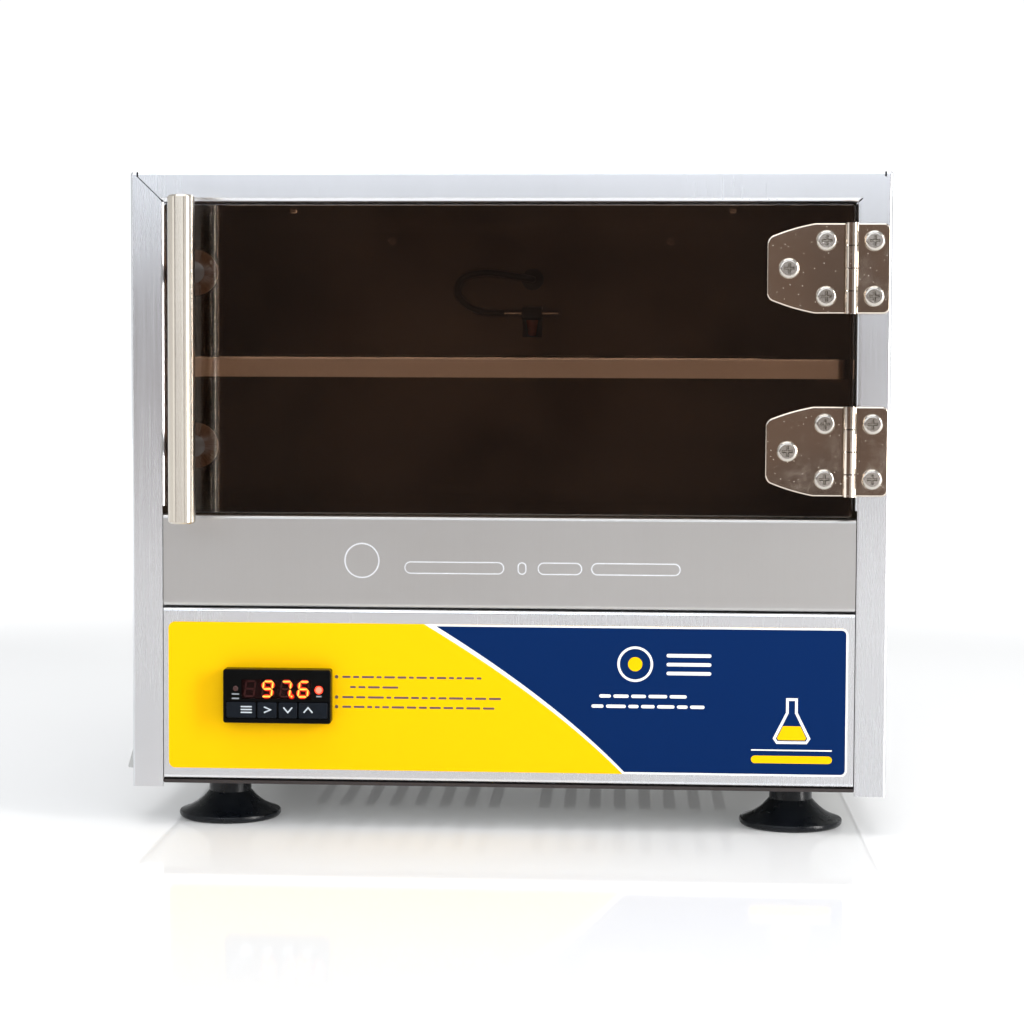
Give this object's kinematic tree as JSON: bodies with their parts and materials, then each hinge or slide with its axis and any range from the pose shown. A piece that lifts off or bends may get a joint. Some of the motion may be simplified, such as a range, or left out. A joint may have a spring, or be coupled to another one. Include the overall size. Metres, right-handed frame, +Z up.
{
  "type": "laboratory incubator",
  "caption": "Bench-top laboratory incubator: steel cabinet with a hinged tinted glass door, bar handle, inner shelf, digital temperature controller and rubber feet.",
  "frame": {"origin": "on the surface the feet stand on, under the middle of the whole object's box", "axes": "+X to the user's right, +Y from the door to the back, +Z up"},
  "size_m": [0.3452, 0.345, 0.2964],
  "materials": {
    "stainless": "vertically brushed stainless sheet",
    "liner_steel": "matt stainless sheet",
    "pan_black": "black textured powder coat",
    "overlay": "printed polycarbonate film, yellow and navy",
    "polished_steel": "polished stainless",
    "satin_steel": "satin stainless bar",
    "tinted_glass": "bronze-tinted toughened glass",
    "seal_rubber": "black silicone",
    "foot_rubber": "black rubber, slightly glossy",
    "controller_black": "black moulded plastic",
    "key_slate": "slate keypad plastic",
    "display_lens": "red-tinted clear window",
    "display_red": "lit red display",
    "foam": "insulation board",
    "element_sheath": "dark oxidised steel sheath",
    "cable_black": "black cable sheath",
    "amber": "amber resin",
    "electrical_plastic": "black electrical plastic",
    "terminal_plastic": "natural nylon",
    "brass_pin": "nickel-plated brass"
  },
  "bodies": {
    "cabinet": {"back_panel": "stainless", "back_panel_screws": "polished_steel", "base_pan": "pan_black", "base_screws": "polished_steel", "cable_grommet": "seal_rubber", "chamber_floor": "liner_steel", "clip_screw": "polished_steel", "control_panel": "stainless", "controller_clamp": "controller_black", "controller_housing": "controller_black", "display_module": "display_red", "display_window": "display_lens", "door_gasket": "seal_rubber", "element_brackets": "liner_steel", "feet": "foot_rubber", "foot_screws": "polished_steel", "front_lip_panel": "stainless", "fuse_holder": "electrical_plastic", "graphic_overlay": "overlay", "heater_relay": "electrical_plastic", "heating_element": "element_sheath", "hinge_frame_leaf_lower": "polished_steel", "hinge_frame_leaf_upper": "polished_steel", "hinge_frame_screws": "polished_steel", "hinge_pins": "polished_steel", "inlet_pins": "brass_pin", "inlet_screws": "polished_steel", "inner_wiring": "cable_black", "insulation": "foam", "limit_sensor": "amber", "liner_back": "liner_steel", "liner_ceiling": "liner_steel", "liner_left": "liner_steel", "liner_right": "liner_steel", "liner_screws": "polished_steel", "outer_wrapper": "stainless", "plenum_pan": "liner_steel", "power_inlet": "electrical_plastic", "power_switch": "electrical_plastic", "probe_cable": "cable_black", "probe_clip": "electrical_plastic", "shelf_ledges": "liner_steel", "status_leds": "display_red", "temperature_probe": "polished_steel", "terminal_block": "terminal_plastic"},
    "door": {"door_glass": "tinted_glass", "hinge_door_leaf_upper": "polished_steel", "hinge_door_leaf_lower": "polished_steel", "hinge_door_screws": "polished_steel", "hinge_door_nuts": "polished_steel", "handle_bar": "satin_steel", "handle_standoffs": "satin_steel", "handle_washers": "polished_steel", "handle_screws": "polished_steel"},
    "shelf": {"shelf": "liner_steel"},
    "set_key": {"set_key": "key_slate"},
    "shift_key": {"shift_key": "key_slate"},
    "down_key": {"down_key": "key_slate"},
    "up_key": {"up_key": "key_slate"},
    "switch_rocker": {"switch_rocker": "electrical_plastic"}
  },
  "joints": [
    {"name": "door_hinge", "type": "hinge", "parent": "cabinet", "child": "door", "pos_m": [0.15447, -0.1399, 0.2129], "axis": [0, 0, 1], "range_deg": [0, 165]},
    {"name": "shelf_slide", "type": "slide", "parent": "cabinet", "child": "shelf", "axis": [0, -1, 0], "range_m": [0, 0.008]},
    {"name": "set_key_press", "type": "slide", "parent": "cabinet", "child": "set_key", "axis": [0, 1, 0], "range_m": [0, 0.0004], "stiffness_N_per_m": 600},
    {"name": "shift_key_press", "type": "slide", "parent": "cabinet", "child": "shift_key", "axis": [0, 1, 0], "range_m": [0, 0.0004], "stiffness_N_per_m": 600},
    {"name": "down_key_press", "type": "slide", "parent": "cabinet", "child": "down_key", "axis": [0, 1, 0], "range_m": [0, 0.0004], "stiffness_N_per_m": 600},
    {"name": "up_key_press", "type": "slide", "parent": "cabinet", "child": "up_key", "axis": [0, 1, 0], "range_m": [0, 0.0004], "stiffness_N_per_m": 600},
    {"name": "power_rocker", "type": "hinge", "parent": "cabinet", "child": "switch_rocker", "pos_m": [-0.16593, -0.1135, 0.034], "axis": [0, 1, 0], "range_deg": [-14, 0]}
  ]
}
